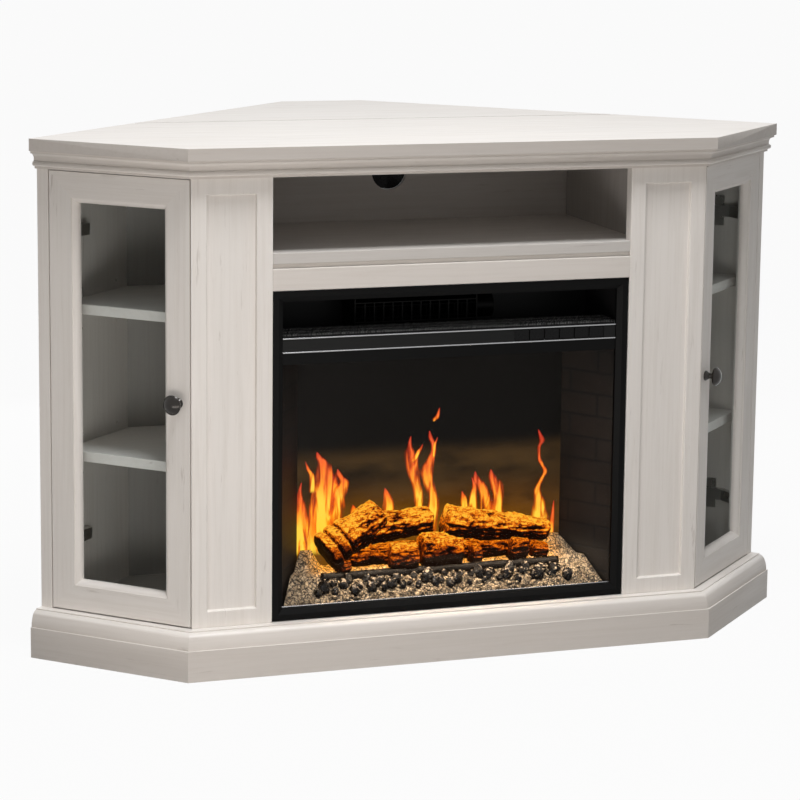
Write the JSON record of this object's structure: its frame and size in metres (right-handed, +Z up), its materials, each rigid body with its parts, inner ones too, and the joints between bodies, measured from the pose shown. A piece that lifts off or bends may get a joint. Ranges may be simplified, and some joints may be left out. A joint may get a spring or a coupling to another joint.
{
  "type": "corner fireplace tv stand",
  "caption": "Corner media cabinet with an electric fire insert, an open media bay, glazed side doors on angled faces and a fold-down rear top leaf.",
  "frame": {"origin": "on the floor, in the middle of the footprint of the whole cabinet with its leaf up", "axes": "+X to the viewer's right along the front, +Y from the front towards the wall, +Z up"},
  "size_m": [1.269, 0.7636, 0.813],
  "materials": {
    "whitewashed_wood": "ivory white-washed veneer with faint grey grain, satin",
    "raw_wood": "bare softwood",
    "clear_glass": "clear tempered glass",
    "bronze_paint": "dark bronze, glossy",
    "nickel_steel": "nickel plated",
    "zinc_steel": "zinc plated",
    "black_metal": "black satin powder coat",
    "black_plastic": "black, semi-gloss",
    "bright_metal": "bright polished",
    "bare_aluminium": "bare, dull",
    "dark_screen": "smoked flame screen",
    "cast_resin": "moulded ember bed and logs, hand tinted"
  },
  "bodies": {
    "cabinet": {"main_top": "whitewashed_wood", "crown_front": "whitewashed_wood", "crown_left": "whitewashed_wood", "crown_right": "whitewashed_wood", "base_front": "whitewashed_wood", "base_left": "whitewashed_wood", "base_right": "whitewashed_wood", "bottom_panel": "whitewashed_wood", "end_panel_left": "whitewashed_wood", "end_panel_right": "whitewashed_wood", "partition_left": "whitewashed_wood", "partition_right": "whitewashed_wood", "pilaster_left": "whitewashed_wood", "pilaster_right": "whitewashed_wood", "top_rail": "whitewashed_wood", "fascia_rail": "whitewashed_wood", "media_shelf": "whitewashed_wood", "media_back": "whitewashed_wood", "side_backs": "whitewashed_wood", "side_shelves": "whitewashed_wood", "support_blocks": "raw_wood", "insert_glass": "clear_glass", "shelf_pins": "nickel_steel", "hinge_arms": "nickel_steel", "leaf_hinge_plates": "zinc_steel", "prop_brackets": "zinc_steel", "insert_bezel": "black_metal", "insert_casing": "black_metal", "warm_air_deck": "black_metal", "blower_housing": "black_metal", "control_bar": "black_plastic", "rotor_motor": "black_plastic", "cord_gland": "black_plastic", "lamp_board": "black_plastic", "bright_strips": "bright_metal", "heater_element": "bare_aluminium", "flame_screen": "dark_screen", "ember_bed": "cast_resin", "log_pile": "cast_resin"},
    "door_left": {"door_stiles_left": "whitewashed_wood", "door_rails_left": "whitewashed_wood", "door_glass_left": "clear_glass", "door_knob_left": "bronze_paint", "hinge_cups_left": "nickel_steel"},
    "door_right": {"door_stiles_right": "whitewashed_wood", "door_rails_right": "whitewashed_wood", "door_glass_right": "clear_glass", "door_knob_right": "bronze_paint", "hinge_cups_right": "nickel_steel"},
    "leaf": {"rear_leaf": "whitewashed_wood", "leaf_hinge_flaps": "zinc_steel"},
    "prop": {"leaf_prop": "zinc_steel"},
    "blower_wheel": {"blower_wheel": "bare_aluminium"},
    "flame_rotor": {"flame_rotor": "bright_metal"},
    "key_1": {"control_key_1": "black_plastic"},
    "key_2": {"control_key_2": "black_plastic"},
    "key_3": {"control_key_3": "black_plastic"},
    "key_4": {"control_key_4": "black_plastic"},
    "key_5": {"control_key_5": "black_plastic"},
    "key_6": {"control_key_6": "black_plastic"}
  },
  "joints": [
    {"name": "door_left_hinge", "type": "hinge", "parent": "cabinet", "child": "door_left", "pos_m": [-0.59698, -0.17331, 0.42], "axis": [0, 0, -1], "range_deg": [0, 95]},
    {"name": "door_right_hinge", "type": "hinge", "parent": "cabinet", "child": "door_right", "pos_m": [0.59698, -0.17331, 0.42], "axis": [0, 0, 1], "range_deg": [0, 95]},
    {"name": "leaf_fold", "type": "hinge", "parent": "cabinet", "child": "leaf", "pos_m": [0, 0.03746, 0.7902], "axis": [-1, 0, 0], "range_deg": [0, 90]},
    {"name": "prop_fold", "type": "hinge", "parent": "cabinet", "child": "prop", "pos_m": [0, 0.00921, 0.67556], "axis": [-1, 0, 0], "range_deg": [0, 135]},
    {"name": "key_1_press", "type": "slide", "parent": "cabinet", "child": "key_1", "axis": [0, 1, 0], "range_m": [0, 0.0012], "stiffness_N_per_m": 800, "springref_m": -0.0006},
    {"name": "key_2_press", "type": "slide", "parent": "cabinet", "child": "key_2", "axis": [0, 1, 0], "range_m": [0, 0.0012], "stiffness_N_per_m": 800, "springref_m": -0.0006},
    {"name": "key_3_press", "type": "slide", "parent": "cabinet", "child": "key_3", "axis": [0, 1, 0], "range_m": [0, 0.0012], "stiffness_N_per_m": 800, "springref_m": -0.0006},
    {"name": "key_4_press", "type": "slide", "parent": "cabinet", "child": "key_4", "axis": [0, 1, 0], "range_m": [0, 0.0012], "stiffness_N_per_m": 800, "springref_m": -0.0006},
    {"name": "key_5_press", "type": "slide", "parent": "cabinet", "child": "key_5", "axis": [0, 1, 0], "range_m": [0, 0.0012], "stiffness_N_per_m": 800, "springref_m": -0.0006},
    {"name": "key_6_press", "type": "slide", "parent": "cabinet", "child": "key_6", "axis": [0, 1, 0], "range_m": [0, 0.0012], "stiffness_N_per_m": 800, "springref_m": -0.0006},
    {"name": "blower_spin", "type": "hinge", "parent": "cabinet", "child": "blower_wheel", "pos_m": [-0.032, -0.22279, 0.5375], "axis": [1, 0, 0], "continuous": true},
    {"name": "flame_spin", "type": "hinge", "parent": "cabinet", "child": "flame_rotor", "pos_m": [0, -0.21479, 0.2055], "axis": [1, 0, 0], "continuous": true}
  ],
  "couplings": [
    {"joint": "prop_fold", "follows": "leaf_fold", "ratio": 1.5}
  ]
}
